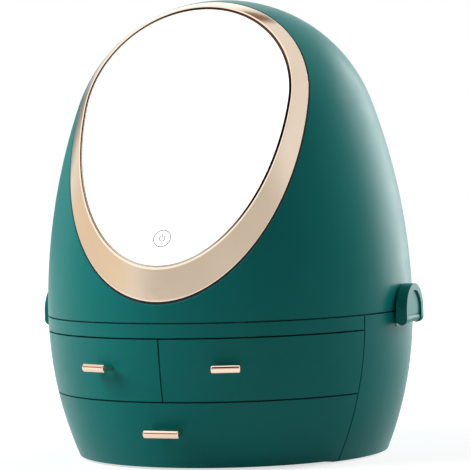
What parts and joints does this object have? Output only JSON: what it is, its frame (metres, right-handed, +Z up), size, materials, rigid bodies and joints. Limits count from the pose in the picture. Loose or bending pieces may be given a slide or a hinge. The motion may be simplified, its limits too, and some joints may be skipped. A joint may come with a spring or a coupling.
{
  "type": "makeup organizer box",
  "caption": "Egg-shaped makeup organizer with a hinged dome lid, a tilted gold-ringed mirror and sliding drawers with bar pulls.",
  "frame": {"origin": "the egg's axis in the table plane, at the middle of the flat bottom plate", "axes": "+Z up, -Y to the front where drawers and mirror face, +X to the right seen from the front"},
  "size_m": [0.2884, 0.2834, 0.334],
  "materials": {
    "shell_green": "satin moulded plastic",
    "inner_green": "matt moulded plastic",
    "gold_plating": "polished rose gold plating on plastic",
    "gold_metal": "polished rose gold",
    "mirror": "silvered glass",
    "steel": "plain",
    "rubber": "matt",
    "circuit_board": "solder mask",
    "white_plastic": "frosted",
    "battery_foil": "foil pouch"
  },
  "bodies": {
    "base": {"base_shell_right": "shell_green", "base_shell_left": "shell_green", "bottom_plate": "inner_green", "anti_slip_pads": "rubber", "bottom_screws": "steel", "lower_runners": "inner_green", "mid_shelf": "inner_green", "upper_runners": "inner_green", "centre_divider": "inner_green", "top_deck": "inner_green", "front_rail": "shell_green", "rail_screws": "steel", "deck_dividers": "inner_green", "lid_bumpers": "rubber", "hinge_base_leaf": "steel", "hinge_pin": "steel", "hinge_base_screws": "steel", "latch_block_right": "shell_green", "latch_block_left": "shell_green", "latch_pin_right": "shell_green", "latch_pin_left": "shell_green", "latch_screws": "steel"},
    "lid": {"dome_shell": "shell_green", "bezel_ring": "gold_plating", "mirror_glass": "mirror", "light_diffuser": "white_plastic", "led_board": "white_plastic", "mirror_pan": "inner_green", "pan_screws": "steel", "control_board": "circuit_board", "touch_sensor": "circuit_board", "battery": "battery_foil", "charge_socket": "steel", "hinge_lid_leaf": "steel", "hinge_lid_screws": "steel", "keeper_plates": "steel"},
    "latch_right": {"latch_flap_right": "shell_green", "latch_magnet_right": "steel"},
    "latch_left": {"latch_flap_left": "shell_green", "latch_magnet_left": "steel"},
    "drawer_left": {"left_front": "shell_green", "left_tray": "inner_green", "left_pull": "gold_metal", "left_pull_screws": "steel"},
    "drawer_right": {"right_front": "shell_green", "right_tray": "inner_green", "right_pull": "gold_metal", "right_pull_screws": "steel"},
    "drawer_lower": {"lower_front": "shell_green", "lower_tray": "inner_green", "lower_pull": "gold_metal", "lower_pull_screws": "steel"}
  },
  "joints": [
    {"name": "lid_hinge", "type": "hinge", "parent": "base", "child": "lid", "pos_m": [0, 0.14, 0.105], "axis": [-1, 0, 0], "range_deg": [0, 85]},
    {"name": "latch_right_hinge", "type": "hinge", "parent": "base", "child": "latch_right", "pos_m": [0.1401, 0, 0.099], "axis": [0, 1, 0], "range_deg": [0, 100]},
    {"name": "latch_left_hinge", "type": "hinge", "parent": "base", "child": "latch_left", "pos_m": [-0.1401, 0, 0.099], "axis": [0, -1, 0], "range_deg": [0, 100]},
    {"name": "left_drawer_slide", "type": "slide", "parent": "base", "child": "drawer_left", "axis": [0, -1, 0], "range_m": [0, 0.088]},
    {"name": "right_drawer_slide", "type": "slide", "parent": "base", "child": "drawer_right", "axis": [0, -1, 0], "range_m": [0, 0.088]},
    {"name": "lower_drawer_slide", "type": "slide", "parent": "base", "child": "drawer_lower", "axis": [0, -1, 0], "range_m": [0, 0.088]}
  ]
}
